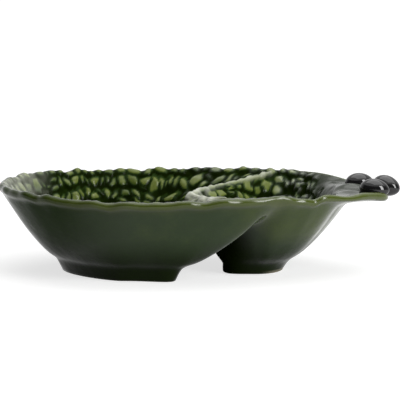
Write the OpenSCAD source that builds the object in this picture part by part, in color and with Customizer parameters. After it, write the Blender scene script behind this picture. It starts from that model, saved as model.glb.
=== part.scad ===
// Two-well olive dish in glazed earthenware, with three olives fixed on its tip.
// The dish stands on the XY plane. +X runs from the round end to the tip, +Z is up.

/* [Dish] */
// Length of the dish from its round end to its tip, without the olives
dish_length = 200; // [180:1:230]
// Width of the egg-shaped outline, halfway along it
dish_width = 133; // [115:1:150]
// How much the half-width grows towards the round end, and shrinks towards the tip
egg_taper = 10.5; // [4:0.5:16]
// Height of the rim at the round end
rim_height = 44; // [36:1:54]
// Extra height of the rim beside the small well
rim_rise = 1.5; // [0:0.1:3]
// Thickness of the fired wall
wall = 5; // [4:0.25:6]

/* [Rim] */
// Number of large scallops round the rim
scallops = 26; // [16:1:34]
// How far the scallops stand in and out
scallop_depth = 0.7; // [0:0.1:1.6]
// How far the scallops rise and fall
scallop_lift = 0.4; // [0:0.1:1.4]
// Height of the thickened lip below the edge of the rim
lip_height = 4.6; // [3.5:0.1:6]
// Depth of the notch where the scallops end and the smooth tip begins
notch_depth = 2.4; // [0:0.1:3]

/* [Ridge between the wells] */
// Height of the ridge at its middle
ridge_height = 40; // [32:0.5:41]
// Place of the ridge's middle, from halfway between the two feet
ridge_shift = -8.5; // [-10:0.5:2]
// Distance from the tip to where the ridge meets the rim
ridge_to_tip = 56; // [50:1:70]
// Radius of the bend at the ridge's middle
ridge_bend = 14; // [8:1:24]

/* [Large well] */
// Distance from the round end to the foot of the large well
large_foot_inset = 32.5; // [28:0.5:38]
// Length of the large foot
large_foot_length = 62; // [54:1:64]
// Width of the large foot, halfway along it
large_foot_width = 74; // [62:1:80]
// How much the half-width of the large foot grows towards the ridge
large_foot_flare = 11; // [2:1:13]
// Depth of the dent in the large foot's side towards the ridge
large_foot_dent = 5; // [0:0.5:7]
// Height of the large foot
large_foot_height = 7.5; // [6:0.5:9]

/* [Small well] */
// Distance from the tip to the foot of the small well
small_foot_inset = 54; // [50:1:60]
// Length of the small foot
small_foot_length = 28; // [25:1:34]
// Width of the small foot
small_foot_width = 33; // [28:1:38]
// Height of the small foot
small_foot_height = 6; // [5:0.5:7.5]

/* [Feet] */
// Width of the flat ring that each foot stands on
foot_ring = 5; // [3.5:0.5:6]
// How far each foot draws in from top to bottom
foot_draft = 3.6; // [2:0.2:5]
// Depth of the hollow inside each foot ring
foot_hollow = 3; // [2:0.25:4]

/* [Tip] */
// Length of the flat shelf that carries the olives, from the tip to the small well
shelf_length = 27; // [24:1:32]
// Height of the rim above the shelf, at the round end's rim height
shelf_drop = 2.5; // [1.5:0.5:5]
// Thickness of the edge round the tip
tip_edge = 3.2; // [3:0.1:4.5]
// Width of the raised border round the shelf
shelf_border = 7; // [5.5:0.5:8]
// Height of the lobe in the border beside the front olive
lobe_height = 1.8; // [0:0.1:2.2]
// Depth of the scoop in the border before that lobe
scoop_depth = 1.4; // [0:0.1:1.8]

/* [Pebbles that line the wells] */
// Number of pebbles round the mouth of the large well
large_well_pebbles = 72; // [50:1:76]
// Number of pebbles round the mouth of the small well
small_well_pebbles = 40; // [28:1:44]
// Rows of pebbles up the wall of the large well
large_well_rows = 7; // [5:1:7]
// Rows of pebbles up the wall of the small well
small_well_rows = 6; // [4:1:6]
// Depth of the grooves between the pebbles
groove_depth = 1.4; // [0.5:0.1:1.6]

/* [Olives] */
// Length of one olive
olive_length = 15.5; // [13:0.5:17]
// Diameter of one olive
olive_diameter = 10.8; // [9:0.2:11.4]
// How far each olive is flattened where it is stuck on the shelf
olive_seat = 3.6; // [2:0.1:4.4]
// How far the end olive stands out past the tip
olive_overhang = 6.6; // [4:0.2:8]
// Distance of the front and back olives from the middle line of the dish
olive_spread = 11.5; // [10:0.5:13]

/* [Hidden] */

glaze_green = [0.20, 0.27, 0.13];
glaze_black = [0.07, 0.07, 0.08];

// Steps of the mesh: along the rim of each well, along the ridge, and up the outside of each wall
rim_steps_large = 76;
rim_steps_small = 60;
ridge_steps = 24;
wall_steps = 6;
olive_steps = 28;

// Places along X, with the middle of the whole object at 0
x_round = -(dish_length + olive_overhang) / 2;
x_tip = x_round + dish_length;
x_middle = (x_round + x_tip) / 2;
large_foot_x = x_round + large_foot_inset + large_foot_length / 2;
small_foot_x = x_tip - small_foot_inset - small_foot_length / 2;
feet_gap_middle = (large_foot_x + large_foot_length / 2 + small_foot_x - small_foot_length / 2) / 2;
ridge_x = feet_gap_middle + ridge_shift;
shelf_z = rim_height - shelf_drop;
floor_z = foot_hollow + wall + 0.5;

// The rim's own angle runs round the egg: 0 at the tip, 180 at the round end
ridge_angle = acos((x_tip - ridge_to_tip - x_middle) / (dish_length / 2));
notch_angle = ridge_angle - 11.5;
// Within this angle the rim lies level with the shelf
tip_angle = 24;
// The lobe and the scoop lie in the front half of the rim
lobe_angle = 360 - 28;
scoop_angle = 360 - 40;
// The rim starts to rise this far before the ridge
rise_x = ridge_x - dish_length / 6;

function mix(a, b, t) = a + (b - a) * t;
function smooth(low, high, x) =
    let (t = min(1, max(0, (x - low) / (high - low))))
    t * t * (3 - 2 * t);
function bump(x, width) = exp(-pow(x / width, 2));
function from_tip(angle) = abs(angle > 180 ? angle - 360 : angle);

// Outline of the dish, seen from above

function egg_half_width(angle) = dish_width / 2 - egg_taper * cos(angle);
function egg_point(angle) = [
    x_middle + dish_length / 2 * cos(angle),
    egg_half_width(angle) * sin(angle)
];
function egg_inward(angle) =
    let (
        along_x = -dish_length / 2 * sin(angle),
        along_y = egg_half_width(angle) * cos(angle) + egg_taper * pow(sin(angle), 2)
    )
    [-along_y, along_x] / norm([along_x, along_y]);

// Scallops fade out at the smooth tip and where the ridge meets the rim
function scallop_fade(angle) =
    smooth(notch_angle, notch_angle + 6, from_tip(angle)) * (1 - bump(from_tip(angle) - ridge_angle, 3));
function scallop_wave(angle) =
    scallop_fade(angle) * (0.6 * sin(scallops * angle) + 0.4 * sin(1.5 * scallops * angle + 50));
// The notch lies in the front half of the rim and is steep on the tip's side
function notch(angle) =
    let (past = from_tip(angle) - notch_angle)
    angle > 180 && angle < 360 ? bump(past, past > 0 ? 5.5 : 2.2) : 0;
function tip_wave(angle, lobe_share = 1) =
    lobe_share * lobe_height * bump(angle - lobe_angle, 6) - scoop_depth * bump(angle - scoop_angle, 5);

function rim_point(angle, inset) =
    let (in = inset - scallop_depth * scallop_wave(angle) + 0.5 * notch_depth * notch(angle))
    egg_point(angle) + in * egg_inward(angle);
function rim_z(angle) =
    let (x = egg_point(angle).x, tip = smooth(notch_angle + 4, tip_angle, from_tip(angle)))
    rim_height
    + rim_rise * smooth(rise_x, x_tip - ridge_to_tip, x) * (1 - tip)
    - shelf_drop * pow(tip, 1.5)
    + scallop_lift * scallop_wave(angle)
    + tip_wave(angle)
    - notch_depth * notch(angle);

// The shelf replaces the well's own edge round the tip
function tipness(angle) = smooth(notch_angle, notch_angle - 22, from_tip(angle));

// Angles of the points round the rim, from the ridge's back end: round the large well, then the small one
rim_angles = concat(
    [for (i = [0:rim_steps_large - 1]) mix(ridge_angle, 360 - ridge_angle, i / rim_steps_large)],
    [for (i = [0:rim_steps_small - 1]) mix(360 - ridge_angle, 360 + ridge_angle, i / rim_steps_small) % 360]
);
rim_count = len(rim_angles);
// The outside of the walls is smooth, so every second angle is enough there
half_count = rim_count / 2;

// Section of the rim as [inset, inset round the tip, height, share of the lip's depth],
// from its inner edge to the lip, with the insets as shares of the wall
rim_section = [
    [0.64, 0.64, -0.3, 0],
    [0.40, 0.40, 0, 0],
    [0.14, 0.14, -0.5, 0],
    [0, 0, 0, -0.4],
    [0.12, 0.06, 0, -0.75],
    [0.5, 0.3, 0, -1]
];

function at(p, z) = [p.x, p.y, z];
// Under the lobe the edge hangs down less than the lobe rises
function lip_depth(angle) = mix(lip_height, tip_edge, tipness(angle)) + tip_wave(angle, 0.45);
function rim_section_point(angle, section) =
    at(
        rim_point(angle, wall * mix(section[0], section[1], tipness(angle))),
        rim_z(angle) + section[2] + section[3] * lip_depth(angle)
    );

// Inner edge of the rim, and the shelf between it and the mouth of the well
function inner_edge(angle) =
    at(
        rim_point(angle, mix(0.9 * wall, shelf_border, tipness(angle))),
        mix(rim_z(angle) - 1.4, shelf_z, tipness(angle))
    );
function well_mouth(angle) =
    let (
        edge = inner_edge(angle),
        across = [edge.x - small_foot_x, edge.y],
        shelf_reach = x_tip - shelf_length - small_foot_x,
        reach = mix(norm(across) - 1.2, shelf_reach, tipness(angle)),
        by_small_well = from_tip(angle) < ridge_angle,
        side = by_small_well ? across / norm(across) * reach : across + 1.2 * egg_inward(angle)
    )
    [small_foot_x + side.x, side.y, mix(edge.z - 1, shelf_z - 0.8, tipness(angle))];
function shelf_ring(share) = [
    for (a = rim_angles)
        let (
            mouth = well_mouth(a),
            edge = inner_edge(a),
            p = mix(mouth, edge, share),
            flat = smooth(0, 0.2, share) * tipness(a)
        )
        [p.x, p.y, mix(p.z, shelf_z, flat)]
];

// Top of the outer wall, behind the lip; it is far behind it only below the shelf
function wall_top(angle) =
    let (
        lip = rim_section_point(angle, rim_section[len(rim_section) - 1]),
        across = [lip.x - small_foot_x, lip.y],
        wall_reach = x_tip - shelf_length + 1.3 * wall - small_foot_x,
        reach = mix(norm(across) - 0.6, wall_reach, tipness(angle)),
        by_small_well = from_tip(angle) < ridge_angle,
        side = by_small_well ? across / norm(across) * reach : across + 0.6 * egg_inward(angle)
    )
    [small_foot_x + side.x, side.y, mix(lip.z - 0.8, shelf_z - tip_edge - 1.6, tipness(angle))];

rim_rings = concat(
    [for (share = [0, 0.2, 1]) shelf_ring(share)],
    [for (section = rim_section) [for (a = rim_angles) rim_section_point(a, section)]]
);
wall_top_ring = [for (i = [0:half_count - 1]) wall_top(rim_angles[2 * i])];

// Ridge between the wells: a bent line from the front of the rim to the back

function ridge_line_x(y, end) =
    let (stretch = (end.x - ridge_x) / (norm([end.y, ridge_bend]) - ridge_bend))
    ridge_x + stretch * (norm([y, ridge_bend]) - ridge_bend);
function ridge_y(i, end) =
    let (t = 2 * i / ridge_steps - 1)
    end.y * (0.75 * t + 0.25 * pow(t, 3));
function ridge_line(end, middle_z, power) = [
    for (i = [1:ridge_steps - 1])
        let (y = ridge_y(i, end))
        [ridge_line_x(y, end), y, mix(middle_z, end.z, pow(abs(y / end.y), power))]
];
// The crest shows inside the dish, and the valley below it outside
crest = ridge_line(rim_rings[0][0], ridge_height, 2.5);
valley = ridge_line(wall_top_ring[0], ridge_height - 1.6 * wall, 9);

// Outlines of the feet: egg-shaped, with a squarer side towards the ridge

function squared(value, power) = sign(value) * pow(abs(value), power);
function foot_point(foot, angle, grow, corner = 0.42) =
    let (
        towards_ridge = foot[4] * cos(angle) > 0,
        power = towards_ridge ? corner : 1,
        half_width = foot[2] / 2 + foot[4] * foot[3] * cos(angle),
        dent = towards_ridge ? foot[6] * pow(cos(angle), 8) : 0
    )
    [
        foot[0] + (foot[1] / 2 + grow) * squared(cos(angle), power) - foot[4] * dent,
        (half_width + grow) * squared(sin(angle), power)
    ];
// Each foot is [place along X, length, width, flare, side of the ridge,
// height, dent, curve of the wall towards the ridge]
large_foot = [
    large_foot_x, large_foot_length, large_foot_width, large_foot_flare, 1,
    large_foot_height, large_foot_dent, 1.6
];
small_foot = [small_foot_x, small_foot_length, small_foot_width, 0, -1, small_foot_height, 0, 1.2];

// Walls of one well. Each loop runs round the well once, seen from above: rim, then ridge.

function loop_angle(foot, p) = atan2(p.y, p.x - foot[0]);
// A path up the inside as [edge of the floor, run to the mouth, height of the mouth, curve, share of ridge]
function inner_paths(foot, loop, on_ridge) = [
    for (i = [0:len(loop) - 1])
        let (
            top = loop[i],
            low = foot_point(foot, loop_angle(foot, top), -foot_ring, 0.95),
            run = [top.x, top.y] - low
        )
        [low, run, top.z, max(1.1, min(1.7, 9.6 / sqrt(norm(run)))), on_ridge[i]]
];
// Point of a path: -1 is the middle of the floor, 0 its edge and 1 the mouth of the well
function on_path(foot, path, u) =
    u < 0
        ? at(mix([foot[0], 0], path[0], 1 + u), floor_z)
        : let (rise = mix(pow(u, path[3]), (1 - cos(180 * u)) / 2, path[4]))
          at(path[0] + u * path[1], mix(floor_z, path[2], rise));
function outer_rings(foot, loop, on_ridge) = [
    for (k = [wall_steps - 1:-1:0])
        let (u = k / wall_steps)
        [
            for (i = [0:len(loop) - 1])
                let (
                    top = loop[i],
                    low = foot_point(foot, loop_angle(foot, top), foot_draft),
                    p = mix(low, [top.x, top.y], u)
                )
                [p.x, p.y, mix(foot[5], top.z, pow(u, mix(1.42, foot[7], on_ridge[i])))]
        ]
];
// Section of a foot as [growth of its outline, height]; the ground plane then trims it flat
function foot_section(foot) = [
    [0.62 * foot_draft, 0.55 * foot[5]],
    [0.22 * foot_draft, 1],
    [0, -0.6],
    [-foot_ring, -0.6],
    [-foot_ring - 0.8, 0.8],
    [-foot_ring - 2, foot_hollow]
];
function foot_rings(foot, loop) = [
    for (section = foot_section(foot))
        [for (top = loop) at(foot_point(foot, loop_angle(foot, top), section[0]), section[1])]
];

large_rim = [for (i = [0:rim_steps_large]) i];
small_rim = [for (i = [rim_steps_large:rim_count]) i % rim_count];
large_half = [for (i = [0:rim_steps_large / 2]) i];
small_half = [for (i = [rim_steps_large / 2:half_count]) i % half_count];
ridge_up = [for (i = [0:ridge_steps - 2]) i];
ridge_down = [for (i = [ridge_steps - 2:-1:0]) i];

function loop_points(rim, ridge, rim_ring, line) =
    concat([for (i = rim) rim_ring[i]], [for (i = ridge) line[i]]);
// 0 along the rim, rising to 1 along the ridge, so that its crest is rounded
function ridge_share(rim, ridge) = concat(
    [for (i = rim) 0],
    [for (i = ridge) smooth(0, 4, min(i + 1, ridge_steps - 1 - i))]
);

// Pebbles line the wells in rows: each is a cushion with a flat top and four sides that slope to a groove

// Rows round the middle pebble of each floor
large_floor_rows = 3;
small_floor_rows = 1;
// Share of a pebble that each of its sides takes, and of a row that the groove below or above it takes
pebble_side = 0.22;
row_groove = 0.06;
// The pebbles fade out where the smooth tip begins
leaf_x = x_tip - shelf_length - 7;
leaf_fade = 8;
function relief(p) = 1 - smooth(leaf_x - leaf_fade, leaf_x, p.x - 0.08 * p.y);

// A number from 0 to 1 that is scattered, but the same at each build
function chance(row, i, use) =
    let (v = 1000 + 100 * sin(73.1 * row + 137.5 * i + 211.7 * use))
    v - floor(v);

function edge_lengths(ring) = [for (i = [0:len(ring) - 1]) norm(ring[(i + 1) % len(ring)] - ring[i])];
function running_sums(list) = [
    for (i = 0, sum = 0; i <= len(list); sum = sum + (i < len(list) ? list[i] : 0), i = i + 1) sum
];
// Place round a ring, counted in its points, that lies at a share of its length
function place_at(sums, share) =
    let (
        n = len(sums) - 1,
        s = (share - floor(share)) * sums[n],
        i = len([for (k = [1:n]) if (sums[k] <= s) k])
    )
    floor(share) * n + i + (s - sums[i]) / (sums[i + 1] - sums[i]);

// Point on the inside of a well, and the same point sunk into the clay
function on_well(foot, paths, place, u) =
    let (n = len(paths), i = floor(place))
    mix(on_path(foot, paths[(i + n) % n], u), on_path(foot, paths[(i + n + 1) % n], u), place - i);
function sunk(foot, paths, place, u, depth) =
    let (
        p = on_well(foot, paths, place, u),
        along = on_well(foot, paths, place + 0.5, u) - on_well(foot, paths, place - 0.5, u),
        up = on_well(foot, paths, place, u + 0.02) - on_well(foot, paths, place, u - 0.02),
        into_clay = cross(along, up)
    )
    p + depth * relief(p) * into_clay / norm(into_clay);

// Borders between the rows, as places on a path; they wave a little round the well
function row_borders(wall_rows, floor_rows) = concat(
    [for (k = [floor_rows:-1:1]) -k / (floor_rows + 0.6)],
    [for (k = [0:wall_rows]) k / wall_rows]
);
function row_border(borders, k, share) =
    let (
        last = len(borders) - 1,
        ends = k == 0 || k == last,
        wave = ends ? 0 : 0.3 * min(borders[k] - borders[k - 1], borders[k + 1] - borders[k]),
        waves = borders[k] < 0 ? 2 : 5 + k % 3
    )
    borders[k] + wave * sin(360 * waves * share + 130 * k);

// One row as [count, its points, places of its lower corners, places of its upper corners].
// The points are its lower corners, the lower and upper edges of the flat tops, and its upper corners.
function pebble_row(foot, paths, borders, row, pebbles, mouth_length) =
    let (
        n = len(paths),
        middle_u = (borders[row] + borders[row + 1]) / 2,
        sums = running_sums(edge_lengths([for (path = paths) on_path(foot, path, middle_u)])),
        count = max(5, round(pebbles * sums[n] / mouth_length)),
        seed = row + pebbles,
        shares = [
            for (end = [-1, 1])
                [
                    for (i = [0:count])
                        let (
                            c = i % count,
                            shift = 0.34 * (chance(seed, c, 0) - 0.5),
                            slant = 0.36 * end * (chance(seed, c, 1) - 0.5)
                        )
                        (i + (row % 2) / 2 + shift + slant) / count
                ]
        ],
        spot = function (i, s, t, depth)
            let (
                low = mix(shares[0][i], shares[0][i + 1], s),
                high = mix(shares[1][i], shares[1][i + 1], s),
                place = place_at(sums, mix(low, high, t)),
                u = mix(row_border(borders, row, place / n), row_border(borders, row + 1, place / n), t)
            )
            sunk(foot, paths, place, u, depth),
        top = function (i, t)
            [
                for (s = [pebble_side, 1 - pebble_side])
                    spot(i, s, t, groove_depth * (0.15 + 0.25 * chance(seed, i, 2)))
            ],
        at_mouth = row == len(borders) - 2
    )
    [
        count,
        concat(
            [for (i = [0:count - 1]) spot(i, 0, row_groove, groove_depth)],
            [for (i = [0:count - 1]) each top(i, pebble_side)],
            [for (i = [0:count - 1]) each top(i, 1 - pebble_side)],
            [for (i = [0:count - 1]) spot(i, 0, 1 - row_groove, groove_depth * (at_mouth ? 0.4 : 1))]
        ),
        [for (i = [0:count - 1]) place_at(sums, mix(shares[0][i], shares[1][i], row_groove))],
        [for (i = [0:count - 1]) place_at(sums, mix(shares[0][i], shares[1][i], 1 - row_groove))]
    ];
function pebble_rows(foot, paths, pebbles, wall_rows, floor_rows) =
    let (
        borders = row_borders(wall_rows, floor_rows),
        mouth = [for (path = paths) on_path(foot, path, 1)],
        mouth_sums = running_sums(edge_lengths(mouth))
    )
    [
        for (row = [0:len(borders) - 2])
            pebble_row(foot, paths, borders, row, pebbles, mouth_sums[len(paths)])
    ];

// One closed skin: rings of points, joined band by band from each well's floor to the hollow of its foot

function flat_list(rings) = [for (ring = rings) each ring];
function ring_indices(first, count, rings) = [
    for (k = [0:rings - 1]) [for (i = [0:count - 1]) first + k * count + i]
];
function band(a, b) =
    let (n = len(a))
    [
        for (i = [0:n - 1])
            let (j = (i + 1) % n)
            each [[a[i], a[j], b[j]], [a[i], b[j], b[i]]]
    ];
function bands(rings) = [for (k = [0:len(rings) - 2]) each band(rings[k], rings[k + 1])];
function top_fan(centre, ring) =
    [for (i = [0:len(ring) - 1]) [centre, ring[(i + 1) % len(ring)], ring[i]]];
function under_fan(ring, centre) =
    [for (i = [0:len(ring) - 1]) [ring[i], ring[(i + 1) % len(ring)], centre]];
// Joins a ring to one with half as many points
function half_band(a, b) = [
    for (i = [0:len(b) - 1])
        let (j = (i + 1) % len(b), next = (2 * i + 2) % len(a))
        each [
            [a[2 * i], a[2 * i + 1], b[i]],
            [a[2 * i + 1], b[j], b[i]],
            [a[2 * i + 1], a[next], b[j]]
        ]
];
// Joins two rings of any counts, edge by edge in the order of their places round the well
function edge_middles(places, n) = [
    for (i = [0:len(places) - 1])
        (places[i] + (i + 1 < len(places) ? places[i + 1] : places[0] + n)) / 2
];
function join(a, b, places_a, places_b, n) =
    let (middles_a = edge_middles(places_a, n), middles_b = edge_middles(places_b, n))
    concat(
        [
            for (i = [0:len(a) - 1])
                let (k = len([for (m = middles_b) if (m < middles_a[i]) m]))
                [a[i], a[(i + 1) % len(a)], b[k % len(b)]]
        ],
        [
            for (j = [0:len(b) - 1])
                let (k = len([for (m = middles_a) if (m <= middles_b[j]) m]))
                [a[k % len(a)], b[(j + 1) % len(b)], b[j]]
        ]
    );
function span(first, count) = [for (i = [0:count - 1]) first + i];
function pebble_faces(first, count) = [
    for (i = [0:count - 1])
        let (
            a = first + i,
            b = first + (i + 1) % count,
            p = first + count + 2 * i,
            q = p + 2 * count,
            c = a + 5 * count,
            d = b + 5 * count
        )
        each [
            [a, b, p + 1], [a, p + 1, p],
            [p, p + 1, q + 1], [p, q + 1, q],
            [q, q + 1, d], [q, d, c],
            [a, p, q], [a, q, c],
            [p + 1, b, d], [p + 1, d, q + 1]
        ]
];
// Inside of a well, from the middle of its floor to its mouth
function inner_faces(rows, firsts, centre, mouth) =
    let (last = len(rows) - 1, n = len(mouth))
    concat(
        top_fan(centre, span(firsts[0], rows[0][0])),
        [for (r = [0:last]) each pebble_faces(firsts[r], rows[r][0])],
        [
            for (r = [0:last])
                let (
                    upper = span(firsts[r] + 5 * rows[r][0], rows[r][0]),
                    next = r < last ? span(firsts[r + 1], rows[r + 1][0]) : mouth,
                    next_places = r < last ? rows[r + 1][2] : span(0, n)
                )
                each join(upper, next, rows[r][3], next_places, n)
        ]
    );

module casting() {
    rim_total = len(rim_rings) * rim_count;
    crest_first = rim_total + half_count;
    valley_first = crest_first + ridge_steps - 1;
    rim_indices = ring_indices(0, rim_count, len(rim_rings));
    wall_top_indices = span(rim_total, half_count);

    function loop_indices(rim, ridge, ring, first) =
        concat([for (i = rim) ring[i]], [for (i = ridge) first + i]);
    function skin(foot, rim, half, ridge, pebbles, wall_rows, floor_rows, first) =
        let (
            mouth = loop_points(rim, ridge, rim_rings[0], crest),
            base = loop_points(half, ridge, wall_top_ring, valley),
            paths = inner_paths(foot, mouth, ridge_share(rim, ridge)),
            rows = pebble_rows(foot, paths, pebbles, wall_rows, floor_rows),
            row_firsts = [for (sum = running_sums([for (row = rows) row[0]])) first + 2 + 6 * sum],
            outer = concat(outer_rings(foot, base, ridge_share(half, ridge)), foot_rings(foot, base)),
            outer_indices = ring_indices(row_firsts[len(rows)], len(base), len(outer)),
            mouth_indices = loop_indices(rim, ridge, rim_indices[0], crest_first),
            base_indices = loop_indices(half, ridge, wall_top_indices, valley_first)
        )
        [
            concat(
                [[foot[0], 0, floor_z], [foot[0], 0, foot_hollow]],
                [for (row = rows) each row[1]],
                flat_list(outer)
            ),
            concat(
                inner_faces(rows, row_firsts, first, mouth_indices),
                bands(concat([base_indices], outer_indices)),
                under_fan(outer_indices[len(outer) - 1], first + 1)
            )
        ];

    large_first = valley_first + ridge_steps - 1;
    large = skin(
        large_foot, large_rim, large_half, ridge_up,
        large_well_pebbles, large_well_rows, large_floor_rows, large_first
    );
    small = skin(
        small_foot, small_rim, small_half, ridge_down,
        small_well_pebbles, small_well_rows, small_floor_rows, large_first + len(large[0])
    );
    polyhedron(
        points = concat(flat_list(rim_rings), wall_top_ring, crest, valley, large[0], small[0]),
        faces = concat(
            bands(rim_indices),
            half_band(rim_indices[len(rim_rings) - 1], wall_top_indices),
            large[1], small[1]
        ),
        convexity = 8
    );
}

module dish_body() {
    ground = 2 * (dish_length + dish_width);
    color(glaze_green)
        difference() {
            casting();
            translate([-ground / 2, -ground / 2, -ground]) cube(ground);
        }
}

// One olive, lying along X with its middle at the origin
module olive_form() {
    rotate([0, 90, 0])
        rotate_extrude($fn = 64)
            polygon([
                for (i = [0:olive_steps])
                    let (t = 180 * i / olive_steps)
                    [olive_diameter / 2 * pow(sin(t), 1.12), olive_length / 2 * cos(t)]
            ]);
}

// An olive stuck on the shelf: turned, dipped towards its outer end, and flattened by the shelf below it
module olive(x, y, turn, dip) {
    seat_z = shelf_z - olive_seat + olive_diameter / 2;
    color(glaze_black)
        difference() {
            translate([x, y, seat_z]) rotate([0, 0, turn]) rotate([0, dip, 0]) olive_form();
            linear_extrude(shelf_z)
                polygon([for (a = [-60:4:60]) egg_point(a) - 0.1 * egg_inward(a)]);
        }
}

end_turn = -32;
end_dip = 14;
// Half of the end olive's reach along X at its turn
end_reach = norm([olive_length / 2 * cos(end_turn), olive_diameter / 2 * sin(end_turn)]);
end_x = x_tip + olive_overhang - end_reach;

module olive_front() olive(end_x - 0.46 * olive_length, -olive_spread, -10, 4);
module olive_end() olive(end_x, 0.13 * olive_spread, end_turn, end_dip);
module olive_back() olive(end_x - 0.85 * olive_length, 1.04 * olive_spread, 8, 0);

dish_body();
olive_front();
olive_end();
olive_back();
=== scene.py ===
# %% [markdown]
# # A two-well olive dish
# The object is a table dish in glazed earthenware: a large well for olives, a small well for
# their stones, a bent ridge between them, and three black olives fired onto the tip.
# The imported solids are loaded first, as a fixed frame. Everything below is made in the same
# place and at the same size, so that each piece can stand for its solid.

# %% Load the frame
import math

import bmesh
import bpy
import numpy as np
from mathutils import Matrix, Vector, noise
from mathutils.kdtree import KDTree


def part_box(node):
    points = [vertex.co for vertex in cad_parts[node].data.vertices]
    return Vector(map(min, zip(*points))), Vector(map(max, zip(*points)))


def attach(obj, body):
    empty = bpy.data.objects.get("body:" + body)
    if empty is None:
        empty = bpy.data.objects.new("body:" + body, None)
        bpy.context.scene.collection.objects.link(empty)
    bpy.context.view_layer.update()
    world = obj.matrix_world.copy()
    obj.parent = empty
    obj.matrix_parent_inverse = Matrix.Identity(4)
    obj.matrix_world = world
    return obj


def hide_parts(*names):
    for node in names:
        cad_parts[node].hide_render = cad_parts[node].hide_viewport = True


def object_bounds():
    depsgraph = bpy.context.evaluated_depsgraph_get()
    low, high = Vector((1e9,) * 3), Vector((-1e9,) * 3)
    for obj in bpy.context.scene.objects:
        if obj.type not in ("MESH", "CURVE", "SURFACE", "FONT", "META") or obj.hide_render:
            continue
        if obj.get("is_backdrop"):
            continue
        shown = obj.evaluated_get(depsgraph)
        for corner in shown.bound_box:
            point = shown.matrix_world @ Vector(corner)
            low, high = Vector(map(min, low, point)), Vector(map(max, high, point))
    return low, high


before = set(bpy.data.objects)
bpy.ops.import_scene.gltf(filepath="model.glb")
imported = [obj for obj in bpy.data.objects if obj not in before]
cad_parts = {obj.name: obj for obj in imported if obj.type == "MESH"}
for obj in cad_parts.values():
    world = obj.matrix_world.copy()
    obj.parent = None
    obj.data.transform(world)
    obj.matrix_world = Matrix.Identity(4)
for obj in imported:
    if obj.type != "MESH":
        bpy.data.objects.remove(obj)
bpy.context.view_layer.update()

# %% [markdown]
# ## The dish's own numbers
# A cast dish has one set of sizes that every curve comes from. They are in millimetres, and
# nearly all are the lengths that the solid was drawn with, so the fine skin made here follows
# the solid. A few small ones were set here, to come closer to the real dish: the rise of the
# rim at the round end, the lift of the scallops, the scoop, the edge beside the front olive
# and the heel of the small foot.

# %% Sizes in millimetres
MM = 0.001
dish_length, dish_width, egg_taper = 200.0, 133.0, 10.5
rim_height, rim_rise, end_rise, wall = 44.0, 1.5, 1.8, 5.0
scallops, scallop_depth, scallop_lift = 26, 0.7, 0.7
lip_height, notch_depth = 4.6, 2.4
lobe_height, scoop_depth = 1.8, 0.7
full_edge, thick_edge = 2.0, 1.2
ridge_height, ridge_shift, ridge_to_tip, ridge_bend = 40.0, -8.5, 56.0, 14.0
large_foot_inset, large_foot_length, large_foot_width = 32.5, 62.0, 74.0
small_foot_inset, small_foot_length, small_foot_width = 54.0, 28.0, 33.0
foot_ring, foot_draft, foot_hollow = 5.0, 3.6, 3.0
shelf_length, shelf_drop, tip_edge, shelf_border = 27.0, 2.5, 3.2, 7.0
olive_length, olive_diameter, olive_seat = 15.5, 10.8, 3.6
olive_overhang, olive_spread = 6.6, 11.5

# %% Places that follow from the sizes
x_round = -(dish_length + olive_overhang) / 2
x_tip = x_round + dish_length
x_middle = (x_round + x_tip) / 2
large_foot_x = x_round + large_foot_inset + large_foot_length / 2
small_foot_x = x_tip - small_foot_inset - small_foot_length / 2
large_foot_end = large_foot_x + large_foot_length / 2
ridge_x = (large_foot_end + small_foot_x - small_foot_length / 2) / 2 + ridge_shift
shelf_z = rim_height - shelf_drop
floor_z = foot_hollow + wall + 0.5
# Angles run round the egg in degrees, from the tip over the back to the round end and the front
ridge_angle = math.degrees(math.acos((x_tip - ridge_to_tip - x_middle) / (dish_length / 2)))
notch_angle = ridge_angle - 11.5
tip_angle, lobe_angle, scoop_angle = 24, 332, 320
full_edge_angle, thick_edge_angle = 346, 347
print("ridge meets the rim at", round(ridge_angle, 1), "degrees from the tip")

# %% [markdown]
# ## Outline and rim
# Seen from above the dish is an egg. Its rim is scalloped like a row of leaves, broken by a
# notch in front where the smooth tip begins. One way would be a curve with hand-placed
# points; here each height and inset is a function of the angle round the egg, which keeps the
# rim smooth at any resolution.

# %% Blending helpers
def mix(a, b, t):
    return a + (b - a) * t


def smooth(low, high, x):
    """A soft step from 0 at low to 1 at high; low may be the larger of the two."""
    t = np.clip((x - low) / (high - low), 0, 1)
    return t * t * (3 - 2 * t)


def bump(x, width):
    """1 where x is 0, falling off on both sides."""
    return np.exp(-((x / width) ** 2))


def at(p, z):
    """Points of the plan with a height added."""
    return np.concatenate([p, np.broadcast_to(z, p.shape[:-1])[..., None]], -1)


# %% Egg outline
def from_tip(angle):
    return np.abs(np.where(angle > 180, angle - 360, angle))


def egg_point(angle):
    a = np.radians(angle)
    half = dish_width / 2 - egg_taper * np.cos(a)
    return np.stack([x_middle + dish_length / 2 * np.cos(a), half * np.sin(a)], -1)


def egg_inward(angle):
    a = np.radians(angle)
    half = dish_width / 2 - egg_taper * np.cos(a)
    along_y = half * np.cos(a) + egg_taper * np.sin(a) ** 2
    along = np.stack([-dish_length / 2 * np.sin(a), along_y], -1)
    along /= np.linalg.norm(along, axis=-1, keepdims=True)
    return np.stack([-along[..., 1], along[..., 0]], -1)


# %% Scallops, notch and tip
# Widths are in degrees round the egg, and end_calm is a share
scallop_fade, ridge_gap, end_calm, end_calm_width = 6, 3, 0.75, 16
notch_back_width, notch_tip_width, tip_blend = 5.5, 2.2, 22
lobe_back_width, lobe_tip_width, scoop_width = 6, 12, 5


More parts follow.
